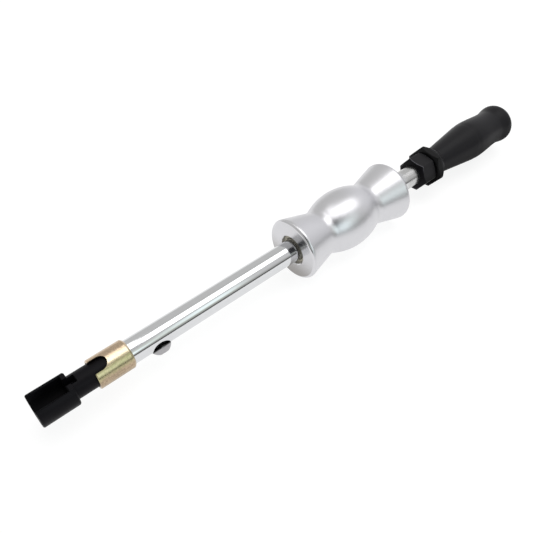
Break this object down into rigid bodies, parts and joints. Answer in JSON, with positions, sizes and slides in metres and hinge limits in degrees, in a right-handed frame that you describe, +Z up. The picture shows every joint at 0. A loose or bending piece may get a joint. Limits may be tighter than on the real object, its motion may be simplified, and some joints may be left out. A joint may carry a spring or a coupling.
{
  "type": "slide hammer puller",
  "caption": "Slide hammer puller: a grooved claw with a locking sleeve, a steel rod, a waisted sliding weight and a moulded grip.",
  "frame": {"origin": "below the middle of the tool's length, on the table under the rod's axis", "axes": "+X from the claw to the grip along the rod's axis, +Z up out of the claw's open trough"},
  "size_m": [0.4588, 0.047, 0.047],
  "materials": {
    "black_steel": "satin black oxide",
    "pin_steel": "bare",
    "gold_plate": "bright yellow zinc plate",
    "rod_chrome": "polished",
    "screw_steel": "dark bright",
    "weight_steel": "satin nickel",
    "bush_bronze": "sintered bronze",
    "grip_plastic": "matte"
  },
  "bodies": {
    "puller": {"claw": "black_steel", "claw_pin": "pin_steel", "rod": "rod_chrome", "stop_screw": "screw_steel", "lock_nut": "black_steel", "grip": "grip_plastic", "grip_insert": "pin_steel"},
    "weight": {"slide_weight": "weight_steel", "front_bush": "bush_bronze", "rear_bush": "bush_bronze"},
    "sleeve": {"locking_sleeve": "gold_plate"}
  },
  "joints": [
    {"name": "weight_slide", "type": "slide", "parent": "puller", "child": "weight", "axis": [1, 0, 0], "range_m": [-0.1123, 0.0302]},
    {"name": "sleeve_slide", "type": "slide", "parent": "puller", "child": "sleeve", "axis": [1, 0, 0], "range_m": [-0.0133, 0.0119]}
  ]
}
